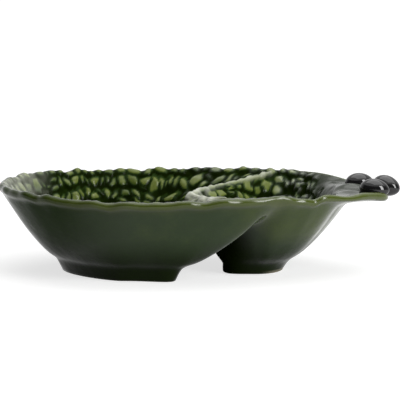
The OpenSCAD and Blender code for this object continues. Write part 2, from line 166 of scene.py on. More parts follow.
def scallop_wave(angle):
    """Two waves that don't keep step, faded at the notch and ridge and calmer at the round end."""
    off_tip = from_tip(angle)
    fade = smooth(notch_angle, notch_angle + scallop_fade, off_tip)
    fade = fade * (1 - bump(off_tip - ridge_angle, ridge_gap))
    fade = fade * (1 - end_calm * bump(off_tip - 180, end_calm_width))
    a = np.radians(angle)
    return fade * (0.6 * np.sin(scallops * a) + 0.4 * np.sin(1.5 * scallops * a + math.radians(50)))


def notch(angle):
    """A break in the front rim, steep towards the tip."""
    past = from_tip(angle) - notch_angle
    width = np.where(past > 0, notch_back_width, notch_tip_width)
    return np.where(angle > 180, bump(past, width), 0)


def tip_wave(angle, lobe_share=1.0):
    """A lobe on the tip's front edge, with a scoop beside it."""
    width = np.where(angle > lobe_angle, lobe_tip_width, lobe_back_width)
    lobe = lobe_share * lobe_height * bump(angle - lobe_angle, width)
    return lobe - scoop_depth * bump(angle - scoop_angle, scoop_width)


def tipness(angle):
    """1 on the smooth tip, 0 on the scalloped rim."""
    return smooth(notch_angle, notch_angle - tip_blend, from_tip(angle))


# %% Rim in plan and in height
full_edge_width, tip_drop_gap, end_rise_from, end_rise_to = 7, 4, -45, -95


def rim_point(angle, inset):
    depth = inset - scallop_depth * scallop_wave(angle) + 0.5 * notch_depth * notch(angle)
    depth = depth - full_edge * bump(angle - full_edge_angle, full_edge_width)
    return egg_point(angle) + depth[..., None] * egg_inward(angle)


def rim_z(angle):
    tip = smooth(notch_angle + tip_drop_gap, tip_angle, from_tip(angle))
    along = egg_point(angle)[..., 0]
    rise = smooth(ridge_x - dish_length / 6, x_tip - ridge_to_tip, along)
    z = rim_height + rim_rise * rise * (1 - tip) - shelf_drop * tip**1.5
    z = z + end_rise * smooth(end_rise_from, end_rise_to, along)
    return z + scallop_lift * scallop_wave(angle) + tip_wave(angle) - notch_depth * notch(angle)


whole_turn = np.arange(360.0)
print("rim height, mm:", rim_z(whole_turn).min().round(1), "to", rim_z(whole_turn).max().round(1))

# %% [markdown]
# ## Paths up the walls
# The skin is a net: rings run round each well, and paths run from its floor over the rim and
# down to the foot. A path is first drawn with its few real corners, then spaced evenly and
# softened, as slip-cast clay has no sharp inner corners.

# %% Even spacing and softening
def even(path, count):
    """Spaces the points of each path evenly along it; path is (paths, points, 3)."""
    step = np.linalg.norm(np.diff(path, axis=1), axis=2)
    along = np.concatenate([np.zeros((len(path), 1)), np.cumsum(step, 1)], 1)
    out = np.empty((len(path), count, 3))
    for i, (s, p) in enumerate(zip(along, path)):
        t = np.linspace(0, s[-1], count)
        for axis in range(3):
            out[i, :, axis] = np.interp(t, s, p[:, axis])
    return out


def soften(path, passes):
    for _ in range(passes):
        path[:, 1:-1] = 0.25 * path[:, :-2] + 0.5 * path[:, 1:-1] + 0.25 * path[:, 2:]
    return path


# %% Edges that the walls hang from
edge_inset, edge_drop, mouth_gap, mouth_drop, shelf_step = 0.9 * wall, 1.4, 1.2, 1, 0.8
wall_gap, wall_drop, under_shelf, thick_edge_width = 0.6, 0.8, 1.6, 8


def inner_edge(angle):
    t = tipness(angle)
    return at(rim_point(angle, mix(edge_inset, shelf_border, t)), mix(rim_z(angle) - edge_drop, shelf_z, t))


def reach_from_small_well(p, angle, gap, shelf_reach):
    """Moves a rim point towards its well by gap, or along the shelf round the tip."""
    across = p - [small_foot_x, 0]
    length = np.linalg.norm(across, axis=-1, keepdims=True)
    reach = mix(length - gap, shelf_reach - small_foot_x, tipness(angle)[..., None])
    by_small_well = (from_tip(angle) < ridge_angle)[..., None]
    moved = np.where(by_small_well, across / length * reach, across + gap * egg_inward(angle))
    return moved + [small_foot_x, 0]


def well_mouth(angle):
    edge = inner_edge(angle)
    p = reach_from_small_well(edge[..., :2], angle, mouth_gap, x_tip - shelf_length)
    return at(p, mix(edge[..., 2] - mouth_drop, shelf_z - shelf_step, tipness(angle)))


def lip_depth(angle):
    plain = mix(lip_height, tip_edge, tipness(angle))
    return plain + tip_wave(angle, 0.45) + thick_edge * bump(angle - thick_edge_angle, thick_edge_width)


def lip(angle):
    """Lower edge of the rim; the step in to the wall is slighter at the round end."""
    inset = wall * mix(0.5, 0.3, tipness(angle)) * (1 - 0.4 * bump(from_tip(angle) - 180, 35))
    return at(rim_point(angle, inset), rim_z(angle) - lip_depth(angle))


def wall_top(angle):
    edge = lip(angle)
    p = reach_from_small_well(edge[..., :2], angle, wall_gap, x_tip - shelf_length + 1.3 * wall)
    return at(p, mix(edge[..., 2] - wall_drop, shelf_z - tip_edge - under_shelf, tipness(angle)))


# %% Over the rim
# Each corner has its inset on the rim and on the tip, in walls, its height, and its share of the lip's depth
rim_section = [
    [0.64, 0.64, -0.3, 0], [0.40, 0.40, 0, 0], [0.17, 0.17, -0.5, 0],
    [0.07, 0.07, 0, -0.2], [0, 0, 0, -0.55], [0.10, 0.06, 0, -0.8],
]


def rim_path(angle, rings):
    """Over the rim, from its inner edge to just above the lip."""
    points = [inner_edge(angle)]
    for inset, tip_inset, dz, share in rim_section:
        p = rim_point(angle, wall * mix(inset, tip_inset, tipness(angle)))
        points.append(at(p, rim_z(angle) + dz + share * lip_depth(angle)))
    return soften(even(np.stack(points, 1), rings), 1)


# %% Ridge between the wells
def ridge_line(end, middle_z, power, steps):
    """A bow from one side of the rim to the other, lowest in the middle."""
    t = 2 * np.arange(1, steps) / steps - 1
    y = end[1] * (0.75 * t + 0.25 * t**3)
    stretch = (end[0] - ridge_x) / (math.hypot(end[1], ridge_bend) - ridge_bend)
    x = ridge_x + stretch * (np.hypot(y, ridge_bend) - ridge_bend)
    return np.stack([x, y, mix(middle_z, end[2], np.abs(y / end[1]) ** power)], 1)


# %% [markdown]
# ## Feet and the walls above them
# Each well stands on its own foot, round towards its end of the dish and square towards the
# ridge. There the large foot has a dent, and the small one a heel that stands out at the
# bottom. A wall could be lofted between two curves; here every path is drawn by itself, so
# that the side under the ridge can have a curve of its own.

# %% Outline of a foot
LARGE = dict(
    x=large_foot_x, length=large_foot_length, width=large_foot_width, height=7.5,
    side=1, flare=11.0, dent=5.0, heel=0.0, curve=1.6,
)
SMALL = dict(
    x=small_foot_x, length=small_foot_length, width=small_foot_width, height=6.0,
    side=-1, flare=0.0, dent=0.0, heel=2.6, curve=1.2,
)


def foot_point(foot, top, grow, corner=0.42, heel_share=0.0):
    """Point of a foot's outline below a point of the rim or ridge; a small corner is a square one."""
    a = np.arctan2(top[:, 1], top[:, 0] - foot["x"])
    c, s = np.cos(a), np.sin(a)
    towards_ridge = foot["side"] * c > 0
    power = np.where(towards_ridge, corner, 1)
    heel = heel_share * foot["heel"] * np.abs(c) ** 0.5
    dent = np.where(towards_ridge, foot["dent"] * c**8 - heel, 0)
    half = foot["width"] / 2 + foot["side"] * foot["flare"] * c
    x = foot["x"] + (foot["length"] / 2 + grow) * np.sign(c) * np.abs(c) ** power - foot["side"] * dent
    return np.stack([x, (half + grow) * np.sign(s) * np.abs(s) ** power], -1)


# %% Inner and outer paths
hollow_scale, hollow_least, hollow_most, outer_curve = 9.6, 1.1, 1.7, 1.42
wall_samples, shelf_samples, outer_samples = 41, 13, 31


def wall_run(foot, mouth):
    """Where a well's wall starts on its floor, its run to the mouth, and how hollow it is."""
    low = foot_point(foot, mouth, -foot_ring, 0.95)
    run = mouth[:, :2] - low
    hollow = hollow_scale / np.sqrt(np.linalg.norm(run, axis=1))
    return low, run, np.clip(hollow, hollow_least, hollow_most)


def inner_path(foot, mouth, edge, on_ridge, rings):
    """From the floor of a well up its wall, and over the shelf where there is one."""
    low, run, curve = wall_run(foot, mouth)
    centre = np.array([foot["x"], 0.0])
    points = [at(mix(centre, low, f), floor_z) for f in (0.86, 0.93)]
    for u in np.linspace(0, 1, wall_samples):
        rise = mix(u**curve, (1 - math.cos(math.pi * u)) / 2, on_ridge)
        points.append(at(low + u * run, mix(floor_z, mouth[:, 2], rise)))
    flat = tipness(np.degrees(np.arctan2(edge[:, 1], edge[:, 0] - x_middle)) % 360)
    for share in np.linspace(0, 1, shelf_samples)[1:]:
        p = mix(mouth, edge, share)
        p[:, 2] = mix(p[:, 2], shelf_z, smooth(0, 0.2, share) * flat * (edge[:, 2] < rim_height))
        points.append(p)
    points[-1] = edge
    return soften(even(np.stack(points, 1), rings), 3)


def outer_path(foot, edge, base, on_ridge, rings):
    """From the lip down the outside of a well to the bottom edge of its foot."""
    low = foot_point(foot, base, foot_draft)
    points = [edge, mix(edge, base, 0.5)]
    for u in np.linspace(1, 0, outer_samples):
        power = mix(outer_curve, foot["curve"], on_ridge)
        points.append(at(mix(low, base[:, :2], u), mix(foot["height"], base[:, 2], u**power)))
    # Share of the draft, height, and share of the heel
    foot_side = [(0.62, 0.55 * foot["height"], 0), (0.22, 1.9, 0.8), (0.14, 1.0, 1), (0.06, 0.3, 1)]
    for draft_share, z, heel in foot_side:
        points.append(at(foot_point(foot, base, draft_share * foot_draft, heel_share=heel), z))
    return soften(even(np.stack(points, 1), rings), 2)


# %% [markdown]
# ## One closed skin
# A cast dish has no seams, so its skin is one closed mesh. Rings with half as many points are
# stitched in below the lip and on the floors, where the surface is smooth or the rings get
# short. Each point also carries what the finish needs: whether it lies inside the dish, where
# the glaze runs thin over an edge, and where the foot was wiped bare.

# %% Collect rings of points and bands of faces
class Skin:
    def __init__(self):
        self.points, self.faces, self.count = [], [], 0
        self.marks = {"inside": [], "thin": [], "bare": []}

    def ring(self, points, inside=0.0, thin=0.0, bare=0.0):
        self.points.append(points)
        for name, value in (("inside", inside), ("thin", thin), ("bare", bare)):
            self.marks[name].append(np.broadcast_to(np.asarray(value, float), len(points)))
        first = self.count
        self.count += len(points)
        return np.arange(first, self.count)

    def band(self, a, b):
        """Faces between two rings; the second may have half as many points."""
        if len(a) == len(b):
            self.faces += np.stack([a, np.roll(a, -1), np.roll(b, -1), b], 1).tolist()
            return
        even_a, odd_a = a[::2], a[1::2]
        next_a, next_b = np.roll(even_a, -1), np.roll(b, -1)
        self.faces += np.stack([even_a, odd_a, b], 1).tolist()
        self.faces += np.stack([odd_a, next_b, b], 1).tolist()
        self.faces += np.stack([odd_a, next_a, next_b], 1).tolist()

    def grow(self, ring, points, **marks):
        """A new ring, joined to the ring before it."""
        new = self.ring(points, **marks)
        self.band(ring, new)
        return new

    def close(self, ring, centre, **marks):
        tip = self.ring(np.array([centre]), **marks)[0]
        self.faces += [[int(i), int(j), int(tip)] for i, j in zip(ring, np.roll(ring, -1))]

    def fill(self, ring, points, centre, **marks):
        """Rings that close a floor, thinning out towards its centre."""
        radius = np.linalg.norm(points - centre, axis=1).mean()
        ring_gap, point_gap, last = 1.1 / radius, 0.75, 0.08
        share = 1.0 - ring_gap
        while share >= last:
            if len(ring) % 2 == 0 and 2 * math.pi * radius * share / len(ring) < point_gap:
                points = points[::2]
            ring = self.grow(ring, mix(centre, points, share), **marks)
            share -= ring_gap
        self.close(ring, centre, **marks)


# %% Rim, crest, lip and valley
large_steps, small_steps, ridge_steps, rim_rings = 424, 240, 184, 11
rim_angles = np.concatenate([
    mix(ridge_angle, 360 - ridge_angle, np.arange(large_steps) / large_steps),
    mix(360 - ridge_angle, 360 + ridge_angle, np.arange(small_steps) / small_steps) % 360,
])
skin = Skin()
over_rim = rim_path(rim_angles, rim_rings)
rim_ids = []
for k, share in enumerate(np.arange(rim_rings) / (rim_rings - 1)):
    marks = dict(inside=1 - smooth(0.32, 0.5, share), thin=smooth(0.3, 0.6, share))
    rim_ids.append(skin.ring(over_rim[:, k], **marks))
for a, b in zip(rim_ids, rim_ids[1:]):
    skin.band(a, b)

crest_power, valley_power, valley_drop = 2.5, 9, 1.6 * wall
crest = ridge_line(over_rim[0, 0], ridge_height, crest_power, ridge_steps)
crest_ids = skin.ring(crest, inside=1.0)
half_angles = rim_angles[::2]
lip_points, top_points = lip(half_angles), wall_top(half_angles)
lip_ids = skin.grow(rim_ids[-1], lip_points, thin=0.4)
valley = ridge_line(top_points[0], ridge_height - valley_drop, valley_power, ridge_steps // 2)
valley_ids = skin.ring(valley)
print("crest:", len(crest), "points, valley:", len(valley), "points")


# %% Inside of a well
# The blend from rim to ridge is counted in the solid's own steps along the ridge
solid_ridge_steps, ridge_blend = 24, 4


def ridge_share(rim_count, steps, order):
    """How much a path belongs to the ridge: nothing round the rim, and all in the ridge's middle."""
    k = np.minimum(order + 1, steps - 1 - order) / steps * solid_ridge_steps
    return np.concatenate([np.zeros(rim_count), smooth(0, ridge_blend, k)])


def lay_inside(foot, rim, order, rings):
    mouth = np.concatenate([well_mouth(rim_angles)[rim], crest[order]])
    edge = np.concatenate([over_rim[rim, 0], crest[order]])
    paths = inner_path(foot, mouth, edge, ridge_share(len(rim), ridge_steps, order), rings)
    ring = np.concatenate([rim_ids[0][rim], crest_ids[order]])
    for k in range(rings - 2, -1, -1):
        ring = skin.grow(ring, paths[:, k], inside=1.0)
    skin.fill(ring, paths[:, 0], np.array([foot["x"], 0, floor_z]), inside=1.0)


# %% Outside of a well
# Across the sole and up into its hollow: growth of the outline, height, and how bare it is
sole = [
    (-0.25, 0.05, 1), (-0.6, 0.0, 1), (-2.4, 0.0, 1), (0.5 - foot_ring, 0.0, 1), (-foot_ring, 0.15, 1),
    (-foot_ring - 0.6, 0.7, 0.2), (-foot_ring - 1.2, 2.0, 0), (-foot_ring - 2.4, foot_hollow, 0),
]


def lay_outside(foot, rim, order, rings):
    base = np.concatenate([top_points[rim], valley[order]])
    edge = np.concatenate([lip_points[rim], valley[order]])
    paths = outer_path(foot, edge, base, ridge_share(len(rim), ridge_steps // 2, order), rings)
    ring = np.concatenate([lip_ids[rim], valley_ids[order]])
    for k in range(1, rings):
        x, z = paths[:, k, 0], paths[:, k, 2]
        thin = 0.35 * (1 - smooth(0, 2.5, edge[:, 2] - z))
        # The bare edge reaches higher on the small foot
        bare_top = 0.3 + 0.6 * smooth(30, 48, x)
        ring = skin.grow(ring, paths[:, k], thin=thin, bare=smooth(bare_top, 0.1, z))
    for grow, z, bare in sole:
        points = at(foot_point(foot, base, grow, heel_share=smooth(-3, -1, grow)), z)
        ring = skin.grow(ring, points, bare=bare)
    skin.fill(ring, points, np.array([foot["x"], 0, foot_hollow]))


# %% Lay both wells
half_large = large_steps // 2
rim_total, half_total = len(rim_angles), len(half_angles)
up, up_half = np.arange(ridge_steps - 1), np.arange(ridge_steps // 2 - 1)
lay_inside(LARGE, np.arange(large_steps + 1), up, rings=66)
lay_outside(LARGE, np.arange(half_large + 1), up_half, rings=34)
lay_inside(SMALL, np.arange(large_steps, rim_total + 1) % rim_total, up[::-1], rings=58)
lay_outside(SMALL, np.arange(half_large, half_total + 1) % half_total, up_half[::-1], rings=30)
skin_points = np.concatenate(skin.points)
skin_marks = {name: np.concatenate(values) for name, values in skin.marks.items()}
print("skin:", len(skin_points), "points,", sum(len(f) - 2 for f in skin.faces), "triangles")

# %% Keep the skin inside the solid's box
box_gap = 0.05
node_low, node_high = (np.array(corner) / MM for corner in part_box("dish_body"))
for axis in (0, 1):
    low, high = skin_points[:, axis].min(), skin_points[:, axis].max()
    room_low, room_high = node_low[axis] + box_gap, node_high[axis] - box_gap
    shrink = min(1, (room_high - room_low) / (high - low))
    middle, room_middle = (low + high) / 2, (room_low + room_high) / 2
    skin_points[:, axis] = room_middle + (skin_points[:, axis] - middle) * shrink
    print("axis", axis, "shrunk by", round(1 - shrink, 5))


# %% Make the skin a mesh
def mesh_object(name, points, faces):
    mesh = bpy.data.meshes.new(name)
    mesh.from_pydata((points * MM).tolist(), [], faces)
    bm = bmesh.new()
    bm.from_mesh(mesh)
    bmesh.ops.recalc_face_normals(bm, faces=bm.faces)
    if bm.calc_volume(signed=True) < 0:
        bmesh.ops.reverse_faces(bm, faces=bm.faces)
    open_edges = sum(not e.is_manifold for e in bm.edges)
    bm.to_mesh(mesh)
    bm.free()
    mesh.shade_smooth()
    obj = bpy.data.objects.new(name, mesh)
    bpy.context.scene.collection.objects.link(obj)
    print(name, len(mesh.vertices), "points, open edges:", open_edges)
    return obj


dish = mesh_object("dish_glazed", skin_points, skin.faces)
x, y, z = skin_points.T
inside = skin_marks["inside"]

# %% [markdown]
# ## Where the pebbles sit
# Both wells are lined with small cushions of clay, about six millimetres across, with deep
# grooves between them. They lie in loose rows round each well, as a carver would set them in
# the mould, and no two are alike. The rows, counts and scatter are those of the solid, so the
# relief starts from the solid's own pebbles.

# %% Mouth of a well in the solid's own steps
solid_large_steps, solid_small_steps = 76, 60


def coarse_loop(rim_steps, from_angle, to_angle, ridge_order):
    """Points round a well's mouth, and the share of ridge at each."""
    angles = mix(from_angle, to_angle, np.arange(rim_steps + 1) / rim_steps) % 360
    ridge_end = well_mouth(np.array([ridge_angle]))[0]
    ridge = ridge_line(ridge_end, ridge_height, crest_power, solid_ridge_steps)[ridge_order]
    share = ridge_share(rim_steps + 1, solid_ridge_steps, np.arange(solid_ridge_steps - 1))
    return np.concatenate([well_mouth(angles), ridge]), share


def on_well(foot, loop, on_ridge, place, u):
    """Points inside a well.

    place counts round the mouth; u is -1 in the floor's middle, 0 at its edge and 1 at the mouth."""
    low, run, curve = wall_run(foot, loop)
    first = np.floor(place).astype(int)

    def on_path(i):
        i = i % len(loop)
        up = np.maximum(u, 0)[:, None]
        rise = mix(up[:, 0] ** curve[i], (1 - np.cos(np.pi * up[:, 0])) / 2, on_ridge[i])
        on_floor = mix(np.array([foot["x"], 0.0]), low[i], 1 + np.minimum(u, 0)[:, None])
        return at(np.where(up > 0, low[i] + up * run[i], on_floor), mix(floor_z, loop[i, 2], rise))

    return mix(on_path(first), on_path(first + 1), (place - first)[:, None])


# %% Rows of pebbles
row_groove, side_scatter, side_slant, row_wave, floor_middle = 0.06, 0.34, 0.36, 0.3, 0.6


def chance(row, i, use):
    """The solid's own scatter: a number from 0 to 1 for each pebble and use."""
    v = 1000 + 100 * np.sin(np.radians(73.1 * row + 137.5 * i + 211.7 * use))
    return v - np.floor(v)


def row_border(borders, k, share):
    wave = 0.0
    if 0 < k < len(borders) - 1:
        wave = row_wave * min(borders[k] - borders[k - 1], borders[k + 1] - borders[k])
    waves = 2 if borders[k] < 0 else 5 + k % 3
    return borders[k] + wave * np.sin(np.radians(360 * waves * share + 130 * k))


def pebble_cells(foot, loop, on_ridge, count_round, wall_rows, floor_rows):
    """Four corners of every pebble of a well."""
    n = len(loop)
    places = np.arange(n + 1.0)
    floor_span = floor_rows + floor_middle
    borders = [-k / floor_span for k in range(floor_rows, 0, -1)]
    borders += [k / wall_rows for k in range(wall_rows + 1)]

    def length_round(u):
        ring = on_well(foot, loop, on_ridge, places, np.full(n + 1, u))
        return np.concatenate([[0], np.cumsum(np.linalg.norm(np.diff(ring, axis=0), axis=1))])

    mouth_length = length_round(1.0)[-1]
    cells = []
    for row in range(len(borders) - 1):
        along = length_round((borders[row] + borders[row + 1]) / 2)
        count = max(5, math.floor(count_round * along[-1] / mouth_length + 0.5))
        i = np.arange(count + 1)
        seed, c = row + count_round, i % count
        corners = []
        for t in (row_groove, 1 - row_groove):
            slant = side_slant * (2 * t - 1) * (chance(seed, c, 1) - 0.5)
            share = (i + (row % 2) / 2 + side_scatter * (chance(seed, c, 0) - 0.5) + slant) / count
            place = np.interp(share % 1, along / along[-1], places) + n * np.floor(share)
            u = mix(row_border(borders, row, place / n), row_border(borders, row + 1, place / n), t)
            corners.append(on_well(foot, loop, on_ridge, place, u))
        low, high = corners
        cells.append(np.stack([low[:-1], low[1:], high[1:], high[:-1]], 1))
    half_floor = (foot["length"] + foot["width"]) / 4 - foot_ring
    square = np.array([[-1, -1, 0], [1, -1, 0], [1, 1, 0], [-1, 1, 0]])
    last = np.array([foot["x"], 0, floor_z]) + square * (floor_middle / floor_span * half_floor)
    return np.concatenate(cells + [last[None]])


large_loop = coarse_loop(solid_large_steps, ridge_angle, 360 - ridge_angle, slice(None))
small_loop = coarse_loop(solid_small_steps, 360 - ridge_angle, 360 + ridge_angle, slice(None, None, -1))
cells = np.concatenate([
    pebble_cells(LARGE, *large_loop, count_round=72, wall_rows=7, floor_rows=3),
    pebble_cells(SMALL, *small_loop, count_round=40, wall_rows=6, floor_rows=1),
])
print("pebbles of the solid:", len(cells))

# %% [markdown]
# ## Small pebbles
# A finer groove cuts about two of three of the solid's pebbles in two, and one more row runs
# over the inner half of the rim. Then each is nudged and turned a little, because carving by
# hand is never even. These are the pebbles that the eye sees.

# %% Cut the pebbles, and add a row on the rim
scatter = np.random.default_rng(23)
# Without a seed, Blender's vector noise starts from the clock and bends the pebbles anew each run
noise.seed_set(23)
whole_share, rim_count = 0.35, 104


def on_cell(cell, s, t):
    return mix(mix(cell[0], cell[1], s), mix(cell[3], cell[2], s), t)


def cut_cell(cell):
    """The pebble itself, or two with a slanting groove between them."""
    if scatter.random() < whole_share:
        return cell[None]
    if scatter.random() < 0.5:
        cell = np.roll(cell, 1, 0)
    left, right = scatter.uniform(0.2, 0.8, 2)
    halves = [[(0, 0), (1, 0), (1, right), (0, left)], [(0, left), (1, right), (1, 1), (0, 1)]]
    return np.array([[on_cell(cell, *corner) for corner in half] for half in halves])


rim_turns = np.cumsum(scatter.uniform(0.6, 1.4, rim_count))
rim_turns = 360 * rim_turns / rim_turns[-1]
low_ring = well_mouth(rim_turns)
high_ring = at(rim_point(rim_turns, np.full(rim_count, 0.35 * wall)), rim_z(rim_turns))
rim_cells = np.stack([low_ring, np.roll(low_ring, -1, 0), np.roll(high_ring, -1, 0), high_ring], 1)
cells = np.concatenate([cut_cell(cell) for cell in cells] + [rim_cells])
print("pebbles:", len(cells), "of them on the rim:", rim_count)

# %% Nudge and turn the pebbles
pebbles = cells.mean(1)
side_wide = (cells[:, 1] - cells[:, 0] + cells[:, 2] - cells[:, 3]) / 4
side_high = (cells[:, 3] - cells[:, 0] + cells[:, 2] - cells[:, 1]) / 4
nudge = scatter.uniform(-0.3, 0.3, (len(cells), 2, 1))
pebbles += nudge[:, 0] * side_wide + nudge[:, 1] * side_high
half_wide = np.linalg.norm(side_wide, axis=1, keepdims=True)
half_high = np.linalg.norm(side_high, axis=1, keepdims=True)
turn = np.radians(scatter.normal(0, 26, (len(cells), 1)))
pebble_wide = np.cos(turn) * side_wide + np.sin(turn) * side_high * half_wide / half_high
pebble_high = np.cos(turn) * side_high - np.sin(turn) * side_wide * half_high / half_wide
pebble_height = scatter.uniform(0.8, 1.15, len(pebbles))
pebble_tilt = scatter.normal(0, 0.13, (len(pebbles), 3))
pebble_tint = scatter.uniform(0, 1, len(pebbles))
half_sizes = [np.linalg.norm(v, axis=1).mean().round(2) for v in (pebble_wide, pebble_high)]
print("half sizes of a pebble, mm:", half_sizes)

# %% [markdown]
# ## The shape of a pebble
# Each point of the skin is measured in the directions of the pebbles round it, as a share of
# their half width and half height, so that every pebble stays a blunt block with its own turn.
# The nearest block owns the point, and the distance to the border with the next gives the
# height: low in the groove, steep at the shoulder, gently domed on top. A Voronoi texture
# would be shorter, but its cells are round ones that know nothing of rows.

# %% Pebbles near each point
def search_tree(points):
    tree = KDTree(len(points))
    for i, p in enumerate(points):
        tree.insert(p, i)
    tree.balance()
    return tree


# The pebbles stop in a slanting line before the smooth tip
leaf_x = x_tip - shelf_length - 7
pebbled = inside * (1 - smooth(leaf_x - 8, leaf_x, x - 0.08 * y))
on_relief = np.flatnonzero(pebbled > 0.001)
near_count = 7
wide_scale, wide_bend, fine_scale, fine_bend = 0.14, 1.3, 0.45, 0.5
nearest = search_tree(pebbles)
bent = np.empty((len(on_relief), 3))
neighbours = np.empty((len(on_relief), near_count), int)
for row, i in enumerate(on_relief):
    p = Vector(skin_points[i])
    q = p + noise.noise_vector(p * wide_scale) * wide_bend + noise.noise_vector(p * fine_scale) * fine_bend
    bent[row] = q
    neighbours[row] = [found[1] for found in nearest.find_n(q, near_count)]
print("points on the relief:", len(on_relief))

# %% Distance to the border with the next pebble
bluntness, plane_reach, block_reach = 2.5, 4, 1.15
away = bent[:, None] - pebbles[neighbours]
wide, high = pebble_wide[neighbours], pebble_high[neighbours]
wide_wide, high_high, wide_high = (wide**2).sum(2), (high**2).sum(2), (wide * high).sum(2)
away_wide, away_high = (away * wide).sum(2), (away * high).sum(2)
across = (away_wide * high_high - away_high * wide_high) / (wide_wide * high_high - wide_high**2)
upward = (away_high * wide_wide - away_wide * wide_high) / (wide_wide * high_high - wide_high**2)
off_plane = away - across[..., None] * wide - upward[..., None] * high
off_plane = np.linalg.norm(off_plane, axis=2) / plane_reach
blocky = np.abs(across) ** bluntness + np.abs(upward) ** bluntness + off_plane**bluntness
blocky = blocky ** (1 / bluntness)
order = np.argsort(blocky, axis=1)
own = np.take_along_axis(neighbours, order, 1)[:, 0]
blocky = np.take_along_axis(blocky, order, 1)
half_size = np.sqrt(np.linalg.norm(pebble_wide[own], axis=1) * np.linalg.norm(pebble_high[own], axis=1))
border = half_size * np.minimum((blocky[:, 1] - blocky[:, 0]) / 2, block_reach - blocky[:, 0])
border = np.clip(border, 0, None)
print("distance to the border, mm: mean", round(border.mean(), 2), "most", round(border.max(), 2))

# %% Lumps along the crest
crest_back_width, crest_front_width, lump_scale, lump_height, back_lift = 1.3, 4.6, 0.27, 2.1, 1.0
relief_x, relief_y = x[on_relief], y[on_relief]
crest_tree = search_tree(crest)
from_crest = np.array([crest_tree.find(p)[2] for p in skin_points[on_relief]])
lumps = np.array([noise.noise(Vector(p) * lump_scale) for p in skin_points[on_relief]])
# The crest is broad in front and in the middle, and narrow at the back
along_crest = smooth(24, 2, relief_y)
crest_width = mix(crest_back_width, crest_front_width, along_crest)
near_crest = bump(from_crest, crest_width * (1 + 0.8 * lumps))
crest_lift = lump_height * lumps + back_lift * (1 - along_crest)
print("lumps on the crest, mm:", crest_lift.min().round(2), "to", crest_lift.max().round(2))

# %% Heights of the relief
shoulder, pebble_rise, groove_depth, groove_width = 2.3, 1.6, 1.4, 1.75
rim_flat, rim_full, rim_proud = 0.4, 0.8, 0.6
dome = np.sqrt(1 - (1 - np.clip(border / shoulder, 0, 1)) ** 2)
tilt = ((bent - pebbles[own]) * pebble_tilt[own]).sum(1)
pebble_lift = pebble_rise * pebble_height[own] * dome + tilt * dome - groove_depth
# The rim's own row is flatter in front and stands proud at the back
on_rim = own >= len(pebbles) - rim_count
proud = rim_proud * smooth(-15, 15, relief_y)
rim_lift = mix(rim_flat, rim_full, proud / rim_proud) * pebble_lift + proud * dome
pebble_lift = np.where(on_rim, rim_lift, pebble_lift)
pebble_lift = mix(pebble_lift, crest_lift, 0.85 * near_crest)
# The relief is shallower at the round end
pebble_lift *= 1 - 0.5 * smooth(-74, -90, relief_x)
groove = (1 - smooth(0.0, groove_width, border)) * (1 - 0.8 * near_crest)
share = pebbled[on_relief]
lift = np.zeros(len(skin_points))
lift[on_relief] = share * pebble_lift
print("relief, mm:", round(lift.min(), 2), "to", round(lift.max(), 2))

# %% [markdown]
# ## Glaze depth, with painted shade and painted sheen
# The glaze is dark where it has run deep and lighter where it has run thin, and a shaded hollow
# shows no gloss. Numbers on each point carry this together with painted light: the depth number
# is the depth of the glaze with painted shade added, the dullness number is painted shade on the
# reflections, and a painted sheen where it is below 0, the paleness number is a painted white
# reflection on the crest and the round end, and tint is the difference between pebbles. Places
# are in millimetres along the dish. From place to place these numbers follow the tones that the
# dish shows in its picture, so they hold some of that picture's light as well as the glaze.
# Numbers on the clay stay put in every view, which a pattern tied to the camera would not.

# %% Outside of the dish
below_rim, by_foot, by_round_end = smooth(42, 39, z), smooth(28, 8, z), smooth(-35, -75, x)
# Painted shade on the reflections: less gloss below the rim, towards the foot and at the round end; the
# rim's band towards the tip keeps its full gloss
reflection_shade = 0.25 + 0.25 * below_rim + np.maximum(0.42 * by_foot, 0.45 * by_round_end)
reflection_shade *= (1 - inside) * (1 - skin_marks["thin"] * smooth(10, 50, x))
# Painted shade: darker towards the foot and at the round end. Painted light: lighter towards the tip, on the
# side the light comes from
pool = 0.45 + 0.35 * smooth(26, 2, z) - 0.15 * smooth(0, 60, x) + 0.08 * smooth(-30, -80, x)
# Painted shade in the fold between the wells, on the small well's side: no gloss and the darkest glaze
# colour
past_fold = x - np.interp(y, valley[:, 1], valley[:, 0])
fold_shade = (1 - inside) * smooth(-0.5, 1, past_fold) * smooth(31, 15, x) * smooth(32, 22, z)
thin_edge = skin_marks["thin"] * (1 - 0.6 * smooth(-55, -95, x))
print("points in the fold:", int((fold_shade > 0.5).sum()))

# %% Pebbles and crest
# Painted light and shade on each pebble: its upper half lighter and its lower half darker, as if lit from
# above, and partly glaze that runs down in the kiln
run_and_shade = np.clip((pebbles[own, 2] - bent[:, 2]) / half_size, -1, 1)
# Painted shade at the round end, painted light in the small well, and painted shade with a painted sheen on
# the right side of each well
in_large_well = smooth(1, -1, relief_x - np.interp(relief_y, crest[:, 1], crest[:, 0]))
sheen_area = np.maximum(smooth(36, 44, relief_x), 0.5 * in_large_well * smooth(-15, 5, relief_x))
shade_by_place = 0.3 * smooth(-62, -92, relief_x) - 0.08 * smooth(0, 20, relief_x) + 0.3 * sheen_area
# Glaze pools deep in the grooves; the rest of this is painted light and shade
pebble_depth_and_shade = np.clip(shade_by_place + 0.4 * run_and_shade - 0.1 + 1.05 * groove, 0, 1)
# The grooves lose their gloss, a painted shade on the reflections, and the sheen area gains a painted sheen
pebble_reflection_shade = mix(0.55 - 1.2 * sheen_area, 1.0, np.sqrt(groove))
# A painted white reflection on the crest, strongest at its bend and weaker where it runs along the front rim
by_front_rim = smooth(5, 13, relief_x) * smooth(0, -10, relief_y)
painted_sheen_crest = mix(0.5, 1.0, along_crest) * (1 - 0.75 * by_front_rim)
painted_sheen_crest *= near_crest * (0.95 + 0.9 * lumps)
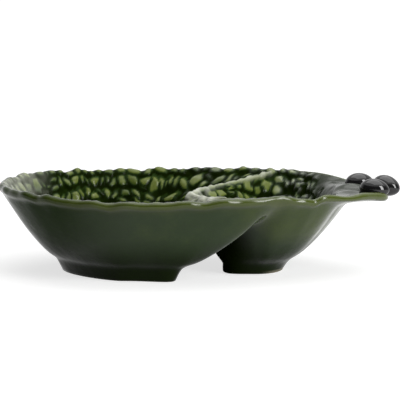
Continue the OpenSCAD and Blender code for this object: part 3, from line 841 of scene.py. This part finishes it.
# A painted white reflection at the round end
painted_sheen_end = 0.6 * smooth(-76, -98, relief_x) * (0.7 + 0.6 * lumps)
painted_sheen, tint = np.zeros(len(skin_points)), np.full(len(skin_points), 0.5)
painted_sheen[on_relief] = share * np.maximum(painted_sheen_crest, painted_sheen_end)
tint[on_relief] = mix(0.5, pebble_tint[own], share)
reflection_shade[on_relief] = mix(reflection_shade[on_relief], pebble_reflection_shade, share)
pool[on_relief] = mix(0.45, pebble_depth_and_shade, share)
print("pebbles: mean pool", pebble_depth_and_shade.mean().round(2), "and dull", pebble_reflection_shade.mean().round(2))

# %% [markdown]
# ## The smooth tip
# The tip is a broad leaf with a few soft creases that run up out of the small well, two
# swellings next to the olives, and glaze pooled where each olive is stuck on. All of it is
# pressed in with the pebbles, as heights on the same skin; a separate leaf would show a seam.

# %% Where the olives lie
end_turn, end_dip = -32.0, 14.0
end_along = olive_length / 2 * math.cos(math.radians(end_turn))
end_across = olive_diameter / 2 * math.sin(math.radians(end_turn))
end_x = x_tip + olive_overhang - math.hypot(end_along, end_across)
# Place along and across the dish, turn, and dip of the outer end
OLIVES = {
    "olive_front": (end_x - 0.46 * olive_length, -olive_spread, -10.0, 4.0),
    "olive_end": (end_x, 0.13 * olive_spread, end_turn, end_dip),
    "olive_back": (end_x - 0.85 * olive_length, 1.04 * olive_spread, 8.0, 0.0),
}
print("olives at", {name: (round(place[0], 1), round(place[1], 1)) for name, place in OLIVES.items()})

# %% Creases, swellings, pooled glaze and painted shade
on_leaf = inside * smooth(50, 57, x)
# Painted shade on the leaf's reflections, most where it slopes down into the small well
reflection_shade += on_leaf * (1 - pebbled) * (0.35 + 0.5 * smooth(74, 61, x))
pool = mix(pool, 0.8, on_leaf * (1 - pebbled))
# Painted shade in the fold: no gloss and the darkest colour
reflection_shade, pool = mix(reflection_shade, 1.0, fold_shade), mix(pool, 1.0, fold_shade)
crease_bow, crease_width, crease_depth = 1.2, 1.3, 1.0
CREASES = [
    ((55, -12), (60, 0)), ((57.5, -2), (64, 12)), ((63.5, -3), (68.5, 14)),
    ((58, 17), (63, 27)), ((59, -24), (64, -14)),
]
for start, end in np.array(CREASES, float):
    run = end - start
    u = np.clip(((x - start[0]) * run[0] + (y - start[1]) * run[1]) / (run @ run), 0, 1)
    bow = crease_bow * np.sin(np.pi * u)
    off = np.hypot(x - start[0] - u * run[0] - bow, y - start[1] - u * run[1])
    crease = bump(off, crease_width) * np.sin(np.pi * np.clip(u, 0.12, 0.88)) ** 0.7
    lift -= crease_depth * on_leaf * crease
    pool += 0.45 * on_leaf * crease
# Height, middle and half widths of each swelling
SWELLINGS = [(1.3, (76.5, -11), (6.5, 5.5)), (3.0, (78, 2), (9, 5))]
for height, middle, half in SWELLINGS:
    lift += on_leaf * height * bump(x - middle[0], half[0]) * bump(y - middle[1], half[1])
for olive_x, olive_y, turn, _ in OLIVES.values():
    c, s = math.cos(math.radians(turn)), math.sin(math.radians(turn))
    along, across = c * (x - olive_x) + s * (y - olive_y), -s * (x - olive_x) + c * (y - olive_y)
    round_olive = np.hypot(along / (olive_length / 2), across / (olive_diameter / 2))
    pool += 0.15 * on_leaf * bump(round_olive - 0.95, 0.1)
print("creases:", len(CREASES), "lift with the leaf, mm:", round(lift.min(), 2), "to", round(lift.max(), 2))

# %% Where the clay is rounded
# The fold between the wells, the step from the small well to the leaf, and a little on the outer wall
fold_tree = search_tree(valley)
soft = np.zeros(len(skin_points))
for i in np.flatnonzero((inside == 0) & (x > -30) & (x < 60)):
    soft[i] = bump(fold_tree.find(skin_points[i])[2], 5)
soft = np.maximum(soft, inside * smooth(49, 54, x) * smooth(70, 63, x))
soft = np.maximum(soft, 0.12 * (1 - inside) * smooth(9, 16, z) * smooth(39, 35, z) * smooth(50, 40, x))

# %% Store the numbers on the skin
stored_numbers = {
    "thin": thin_edge, "bare": skin_marks["bare"], "lift": lift, "pool": np.clip(pool, 0, 1),
    "reflection_shade": np.clip(reflection_shade, -1, 1), "soft": soft, "painted_sheen": np.clip(painted_sheen, 0, 1), "tint": tint,
}
for name, values in stored_numbers.items():
    layer = dish.data.attributes.new(name, "FLOAT", "POINT")
    layer.data.foreach_set("value", np.ascontiguousarray(values, np.float32))
print("stored:", list(stored_numbers))

# %% [markdown]
# ## Pressing the relief into the skin
# The heights are only numbers on the points so far. A Geometry Nodes tree first blurs the
# places of the points in the fold, which rounds it, then blurs the heights a touch, pushes
# each point along its normal, and gives the dish its glaze. A Displace modifier could push
# the points too, but it couldn't round the fold.

# %% Glaze materials, still empty
green_glaze = bpy.data.materials.new("green_glaze")
black_glaze = bpy.data.materials.new("black_glaze")

# %% Helpers for nodes
def add_node(tree, kind, **settings):
    node = tree.nodes.new(kind)
    for key, value in settings.items():
        setattr(node, key, value)
    return node


def set_inputs(node, values):
    for label, value in values.items():
        node.inputs[label].default_value = value


def join(tree, *links):
    """Links sockets; each link is a node, its output, the next node and its input."""
    for source, output, target, entry in links:
        tree.links.new(source.outputs[output], target.inputs[entry])


def geometry_tree(name, inputs):
    tree = bpy.data.node_groups.new(name, "GeometryNodeTree")
    tree.interface.new_socket("Geometry", in_out="INPUT", socket_type="NodeSocketGeometry")
    tree.interface.new_socket("Geometry", in_out="OUTPUT", socket_type="NodeSocketGeometry")
    ids = {
        label: tree.interface.new_socket(label, in_out="INPUT", socket_type="NodeSocket" + kind).identifier
        for label, kind in inputs.items()
    }
    return tree, ids, tree.nodes.new("NodeGroupInput"), tree.nodes.new("NodeGroupOutput")


def run_tree(obj, tree, ids, values):
    """The mesh that a tree makes of an object; the object itself gets no lasting modifier."""
    modifier = obj.modifiers.new(tree.name, "NODES")
    modifier.node_group = tree
    for label, value in values.items():
        modifier[ids[label]] = value
    graph = bpy.context.evaluated_depsgraph_get()
    mesh = bpy.data.meshes.new_from_object(obj.evaluated_get(graph))
    obj.modifiers.remove(modifier)
    return mesh


# %% Nodes that round the fold and push the points out
relief_inputs = {"Height": "Float", "Blur steps": "Int", "Fold steps": "Int", "Glaze": "Material"}
tree, ids, given, result = geometry_tree("pebble_relief", relief_inputs)
heights = add_node(tree, "GeometryNodeInputNamedAttribute", data_type="FLOAT")
set_inputs(heights, {"Name": "lift"})
blur = add_node(tree, "GeometryNodeBlurAttribute", data_type="FLOAT")
scaled = add_node(tree, "ShaderNodeMath", operation="MULTIPLY")
normal = add_node(tree, "GeometryNodeInputNormal")
offset = add_node(tree, "ShaderNodeVectorMath", operation="SCALE")
move = add_node(tree, "GeometryNodeSetPosition")
fold = add_node(tree, "GeometryNodeInputNamedAttribute", data_type="FLOAT")
set_inputs(fold, {"Name": "soft"})
round_fold = add_node(tree, "GeometryNodeBlurAttribute", data_type="FLOAT_VECTOR")
fillet = add_node(tree, "GeometryNodeSetPosition")
spots = add_node(tree, "GeometryNodeInputPosition")
realize = add_node(tree, "GeometryNodeRealizeInstances")
paint = add_node(tree, "GeometryNodeSetMaterial")

# %% Link the nodes and run the tree
join(
    tree,
    (heights, "Attribute", blur, "Value"),
    (given, "Blur steps", blur, "Iterations"),
    (blur, "Value", scaled, 0),
    (given, "Height", scaled, 1),
    (normal, "Normal", offset, 0),
    (scaled, "Value", offset, "Scale"),
    (spots, "Position", round_fold, "Value"),
    (fold, "Attribute", round_fold, "Weight"),
    (given, "Fold steps", round_fold, "Iterations"),
    (round_fold, "Value", fillet, "Position"),
    (given, "Geometry", fillet, "Geometry"),
    (fillet, "Geometry", move, "Geometry"),
    (offset, "Vector", move, "Offset"),
    (move, "Geometry", realize, "Geometry"),
    (realize, "Geometry", paint, "Geometry"),
    (given, "Glaze", paint, "Material"),
    (paint, "Geometry", result, "Geometry"),
)
smooth_mesh = dish.data
relief_values = {"Height": MM, "Blur steps": 1, "Fold steps": 60, "Glaze": green_glaze}
dish.data = run_tree(dish, tree, ids, relief_values)
dish.data.name = "dish_glazed"
bpy.data.meshes.remove(smooth_mesh)
print("dish:", len(dish.data.vertices), "points, glaze:", [m.name for m in dish.data.materials])

# %% [markdown]
# ## Olives
# Three olives lie side by side on the tip, the outermost hanging over its end. Each is turned
# from one profile, a little blunter at the stem end with a shallow dimple there, and is
# flattened where it was stuck onto the leaf. A scaled ball would be quicker, but it has no
# stem end. The profile is a hair smaller than the solid's, to keep the whole dish inside the
# solids' box.

# %% Turn an olive
fit_long, fit_round, dimple = 0.992, 0.978, 0.97
olive_rounds, olive_rings = 72, 48


def turn_olive():
    """Points and faces of an olive that lies along x."""
    olive, rings = Skin(), []
    turn = np.linspace(0, 2 * math.pi, olive_rounds, endpoint=False)
    for t in np.linspace(0, math.pi, olive_rings + 1)[1:-1]:
        radius = olive_diameter / 2 * np.sin(t) ** 1.12 * (1 - 0.05 * np.cos(t))
        length = np.full(olive_rounds, fit_long * olive_length / 2 * np.cos(t))
        y, z = fit_round * (radius * np.cos(turn)), fit_round * (radius * np.sin(turn))
        points = np.stack([length, y, z], 1)
        rings.append(olive.grow(rings[-1], points) if rings else olive.ring(points))
    olive.close(rings[0], [fit_long * olive_length / 2, 0, 0])
    olive.close(rings[-1], [-dimple * olive_length / 2, 0, 0])
    return np.concatenate(olive.points), olive.faces


def turned(points, degrees, a, b):
    c, s = math.cos(math.radians(degrees)), math.sin(math.radians(degrees))
    out = points.copy()
    out[:, a], out[:, b] = c * points[:, a] - s * points[:, b], s * points[:, a] + c * points[:, b]
    return out


# %% Lay the olives on the tip
flat_sink = 0.25
outline = egg_point(np.linspace(0, 360, 721))
back_half = outline[360::-1]
olive_skin, olive_faces = turn_olive()
olive_pieces = {}
for name, (olive_x, olive_y, turn, dip) in OLIVES.items():
    points = turned(turned(olive_skin, -dip, 0, 2), turn, 0, 1)
    points += [olive_x, olive_y, shelf_z - olive_seat + olive_diameter / 2]
    half = np.interp(points[:, 0], back_half[:, 0], back_half[:, 1])
    over_shelf = (points[:, 0] < x_tip - 0.05) & (np.abs(points[:, 1]) < half + 0.1)
    points[:, 2] = np.where(over_shelf, np.maximum(points[:, 2], shelf_z - flat_sink), points[:, 2])
    piece = mesh_object(name.replace("olive", "black_olive"), points, olive_faces)
    piece.data.materials.append(black_glaze)
    olive_pieces[name] = piece
    print(name, "box", np.round(points.min(0) * MM, 4), np.round(points.max(0) * MM, 4))

# %% [markdown]
# ## Glaze
# A coloured glaze is glass. It is darkest where it pools in a groove and palest where it runs
# thin over an edge, it clouds a little in the kiln, and its surface is never quite flat. The
# clouding and the ripple belong to both glazes here, so they are one shader node group; the
# depth of the glaze with painted shade, and a painted white sheen, come from the numbers stored
# on the skin.

# %% Shader group for clouding and ripple
kiln = bpy.data.node_groups.new("kiln_clouding", "ShaderNodeTree")
for label, kind in (("Coordinates", "Vector"), ("Cloud scale", "Float"), ("Ripple scale", "Float")):
    kiln.interface.new_socket(label, in_out="INPUT", socket_type="NodeSocket" + kind)
for label in ("Cloud", "Speck", "Ripple"):
    kiln.interface.new_socket(label, in_out="OUTPUT", socket_type="NodeSocketFloat")
given, result = kiln.nodes.new("NodeGroupInput"), kiln.nodes.new("NodeGroupOutput")
cloud, fine, ripple = (add_node(kiln, "ShaderNodeTexNoise") for _ in range(3))
set_inputs(cloud, {"Detail": 5})
set_inputs(fine, {"Scale": 1400, "Detail": 2})
set_inputs(ripple, {"Detail": 3})
speck = add_node(kiln, "ShaderNodeMapRange")
set_inputs(speck, {"From Min": 0.64, "From Max": 0.74})
join(
    kiln,
    (given, "Coordinates", cloud, "Vector"),
    (given, "Cloud scale", cloud, "Scale"),
    (given, "Coordinates", fine, "Vector"),
    (fine, 0, speck, "Value"),
    (given, "Coordinates", ripple, "Vector"),
    (given, "Ripple scale", ripple, "Scale"),
    (cloud, 0, result, "Cloud"),
    (speck, 0, result, "Speck"),
    (ripple, 0, result, "Ripple"),
)


# %% Helpers for a material's nodes
def clear_nodes(material):
    material.use_nodes = True
    tree = material.node_tree
    tree.nodes.clear()
    shader = tree.nodes.new("ShaderNodeBsdfPrincipled")
    output = tree.nodes.new("ShaderNodeOutputMaterial")
    join(tree, (shader, "BSDF", output, "Surface"))
    return tree, shader


def place_kiln(tree, cloud_scale, ripple_scale):
    group = add_node(tree, "ShaderNodeGroup", node_tree=kiln)
    set_inputs(group, {"Cloud scale": cloud_scale, "Ripple scale": ripple_scale})
    where = tree.nodes.new("ShaderNodeTexCoord")
    join(tree, (where, "Object", group, "Coordinates"))
    return group


def stored(tree, name):
    return add_node(tree, "ShaderNodeAttribute", attribute_name=name).outputs["Fac"]


def math_node(tree, operation, a, b):
    node = add_node(tree, "ShaderNodeMath", operation=operation)
    for socket, value in zip(node.inputs, (a, b)):
        if isinstance(value, (int, float)):
            socket.default_value = value
        else:
            tree.links.new(value, socket)
    return node.outputs[0]


def times(tree, value, factor):
    return math_node(tree, "MULTIPLY", value, factor)


def plus_spread(tree, value, spreading, spread):
    """Adds a number that lies about 0.5, drawn out or narrowed, and centred on 0."""
    centred = math_node(tree, "SUBTRACT", spreading, 0.5)
    return math_node(tree, "ADD", value, times(tree, centred, spread))


def mix_colour(tree, share, a, b):
    node = add_node(tree, "ShaderNodeMix", data_type="RGBA")
    tree.links.new(share, node.inputs["Factor"])
    for index, value in ((6, a), (7, b)):
        if isinstance(value, tuple):
            node.inputs[index].default_value = (*value, 1)
        else:
            tree.links.new(value, node.inputs[index])
    return node.outputs[2]


def ripple_normal(tree, shader, height, depth):
    node = tree.nodes.new("ShaderNodeBump")
    set_inputs(node, {"Strength": 1.0, "Distance": depth})
    tree.links.new(height, node.inputs["Height"])
    join(tree, (node, "Normal", shader, "Normal"))


# %% Colour of the green glaze
# From thin to deep glaze; the painted shade in the depth number darkens along the same colours
depth_colours = [
    (0.0, (0.132, 0.166, 0.036)), (0.2, (0.070, 0.100, 0.016)), (0.45, (0.022, 0.043, 0.010)),
    (0.72, (0.009, 0.018, 0.002)), (1.0, (0.006, 0.011, 0.001)),
]
# Thin glaze over an edge, and the white of a painted reflection
edge_green, sheen_white = (0.072, 0.090, 0.008), (0.560, 0.575, 0.480)
green_speck, bare_clay = (0.02, 0.03, 0.012), (0.60, 0.54, 0.40)
tree, shader = clear_nodes(green_glaze)
clouds = place_kiln(tree, 55, 90)
# The stored depth number holds painted shade as well as the depth of the glaze
depth = plus_spread(tree, stored(tree, "pool"), clouds.outputs["Cloud"], 0.35)
depth = plus_spread(tree, depth, stored(tree, "tint"), 0.4)
ramp = tree.nodes.new("ShaderNodeValToRGB")
while len(ramp.color_ramp.elements) < len(depth_colours):
    ramp.color_ramp.elements.new(0.5)
for element, (place, colour) in zip(ramp.color_ramp.elements, depth_colours):
    element.position, element.color = place, (*colour, 1)
tree.links.new(depth, ramp.inputs["Fac"])
bare = stored(tree, "bare")
colour = mix_colour(tree, times(tree, stored(tree, "thin"), 0.6), ramp.outputs["Color"], edge_green)
# Painted white reflection on the crest and the round end
colour = mix_colour(tree, times(tree, stored(tree, "painted_sheen"), 0.85), colour, sheen_white)
colour = mix_colour(tree, times(tree, clouds.outputs["Speck"], 0.35), colour, green_speck)
colour = mix_colour(tree, bare, colour, bare_clay)
tree.links.new(colour, shader.inputs["Base Color"])

# %% Shine and ripple of the green glaze
# Gloss falls where shade is painted on the reflections and rises where a sheen is painted. An export that
# drops the link to this stored number keeps the socket's own value, an average
set_inputs(shader, {"Specular IOR Level": 0.25})
specular = math_node(tree, "SUBTRACT", 0.5, times(tree, stored(tree, "reflection_shade"), 0.5))
tree.links.new(specular, shader.inputs["Specular IOR Level"])
roughness = math_node(tree, "ADD", times(tree, bare, 0.65), times(tree, clouds.outputs["Cloud"], 0.34))
tree.links.new(roughness, shader.inputs["Roughness"])
ripple_normal(tree, shader, clouds.outputs["Ripple"], 0.0004)

# %% Black glaze of the olives
black_thin, black_deep, grey_speck = (0.003, 0.003, 0.004), (0.013, 0.0125, 0.012), (0.05, 0.05, 0.045)
tree, shader = clear_nodes(black_glaze)
clouds = place_kiln(tree, 260, 170)
colour = mix_colour(tree, clouds.outputs["Cloud"], black_thin, black_deep)
colour = mix_colour(tree, times(tree, clouds.outputs["Speck"], 0.3), colour, grey_speck)
tree.links.new(colour, shader.inputs["Base Color"])
tree.links.new(times(tree, clouds.outputs["Cloud"], 0.14), shader.inputs["Roughness"])
set_inputs(shader, {"Specular IOR Level": 0.5})
ripple_normal(tree, shader, clouds.outputs["Ripple"], 0.0001)
print("glazes:", green_glaze.name, black_glaze.name)

# %% [markdown]
# ## Table, light and camera
# The dish stands on a white table under a broad box overhead. A tall box to the right of the
# camera puts the small white window on each olive, and a weak sky fills the shadows. The
# table's own colour is grey, so that it throws little light back at the dish; it glows only
# for the rays that are seen, which makes it white and keeps the soft shadow. What the glaze
# mirrors is a room with a white back wall and ceiling and a dark front. The camera is far
# away with a long lens, eight degrees above the table.

# %% White table
def seen_rays(tree):
    """1 for rays from the camera, and for those that a glossy or clear surface sends on."""
    rays = tree.nodes.new("ShaderNodeLightPath")
    bounced = math_node(tree, "MAXIMUM", rays.outputs["Is Glossy Ray"], rays.outputs["Is Transmission Ray"])
    return math_node(tree, "MAXIMUM", rays.outputs["Is Camera Ray"], bounced)


def soft_step(tree, source, low, high, from_value=0.0, to_value=1.0):
    node = add_node(tree, "ShaderNodeMapRange", interpolation_type="SMOOTHSTEP")
    set_inputs(node, {"From Min": low, "From Max": high, "To Min": from_value, "To Max": to_value})
    tree.links.new(source, node.inputs["Value"])
    return node.outputs[0]


table_half, table_z = 4, -0.0002
corners = [(i * table_half, j * table_half, table_z) for i, j in ((-1, -1), (1, -1), (1, 1), (-1, 1))]
floor_mesh = bpy.data.meshes.new("white_table")
floor_mesh.from_pydata(corners, [], [(0, 1, 2, 3)])
floor = bpy.data.objects.new("white_table", floor_mesh)
bpy.context.scene.collection.objects.link(floor)
table_white = bpy.data.materials.new("table_white")
floor_mesh.materials.append(table_white)

# %% Finish of the table
tree, shader = clear_nodes(table_white)
set_inputs(shader, {"Base Color": (0.46, 0.46, 0.46, 1), "Roughness": 0.9, "Specular IOR Level": 0.0})
set_inputs(shader, {"Emission Color": (1, 1, 1, 1)})
# The far table gets little of the lamps' light, so it glows more
where = tree.nodes.new("ShaderNodeTexCoord")
away = add_node(tree, "ShaderNodeVectorMath", operation="LENGTH")
join(tree, (where, "Object", away, 0))
glow = soft_step(tree, away.outputs["Value"], 0.3, 1.6, 0.7, 0.97)
tree.links.new(times(tree, seen_rays(tree), glow), shader.inputs["Emission Strength"])

# %% Sky, and the room that the glaze mirrors
sky_strength, room_white, room_dark = 0.2, 0.94, 0.06
world = bpy.data.worlds.new("white_room")
bpy.context.scene.world = world
world.use_nodes = True
tree = world.node_tree
tree.nodes.clear()
sky, room = tree.nodes.new("ShaderNodeBackground"), tree.nodes.new("ShaderNodeBackground")
set_inputs(sky, {"Color": (1, 1, 1, 1), "Strength": sky_strength})
set_inputs(room, {"Color": (1, 1, 1, 1)})
way = tree.nodes.new("ShaderNodeTexCoord")
parts = tree.nodes.new("ShaderNodeSeparateXYZ")
either = tree.nodes.new("ShaderNodeMixShader")
output = tree.nodes.new("ShaderNodeOutputWorld")
join(tree, (way, "Generated", parts, 0), (either, 0, output, "Surface"))
join(tree, (sky, 0, either, 1), (room, 0, either, 2))
back_wall = times(tree, soft_step(tree, parts.outputs["Y"], -0.2, 0.7), room_white)
ceiling = times(tree, soft_step(tree, parts.outputs["Z"], 0.56, 0.62), room_white)
bright = math_node(tree, "MAXIMUM", back_wall, ceiling)
tree.links.new(math_node(tree, "ADD", bright, room_dark), room.inputs["Strength"])
tree.links.new(seen_rays(tree), either.inputs["Fac"])


# %% Softboxes
def turn_towards(obj, place, aim):
    obj.location = place
    obj.rotation_euler = (Vector(aim) - Vector(place)).to_track_quat("-Z", "Y").to_euler()
    bpy.context.scene.collection.objects.link(obj)


def softbox(name, place, aim, width, height, watts):
    lamp = bpy.data.lights.new(name, "AREA")
    lamp.shape, lamp.size, lamp.size_y, lamp.energy = "RECTANGLE", width, height, watts
    turn_towards(bpy.data.objects.new(name, lamp), place, aim)


softbox("tall_box_right", (0.74, -0.70, 0.42), (0.02, 0, 0.03), width=0.30, height=0.72, watts=8.5)
softbox("overhead_box", (0.15, 0.10, 1.15), (0, 0, 0.02), width=1.6, height=1.3, watts=13)

# %% Camera
camera_distance, camera_tilt, aim = 1.2, math.radians(8), Vector((0, 0, 0.036))
camera_data = bpy.data.cameras.new("long_lens")
camera_data.lens, camera_data.sensor_width, camera_data.clip_end = 209.5, 36, 20
camera = bpy.data.objects.new("long_lens", camera_data)
towards_camera = Vector((0, -math.cos(camera_tilt), math.sin(camera_tilt)))
turn_towards(camera, aim + camera_distance * towards_camera, aim)
bpy.context.scene.camera = camera
bpy.context.scene.view_settings.view_transform = "Standard"
print("camera at", [round(v, 3) for v in camera.location])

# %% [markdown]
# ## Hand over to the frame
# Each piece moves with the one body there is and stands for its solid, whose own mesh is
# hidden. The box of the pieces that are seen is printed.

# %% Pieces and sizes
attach(dish, "root")
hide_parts("dish_body")
for name, piece in olive_pieces.items():
    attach(piece, "root")
    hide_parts(name)
floor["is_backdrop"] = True
bpy.context.view_layer.update()
low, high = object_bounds()
print("visual box", [round(v, 5) for v in (*low, *high)])
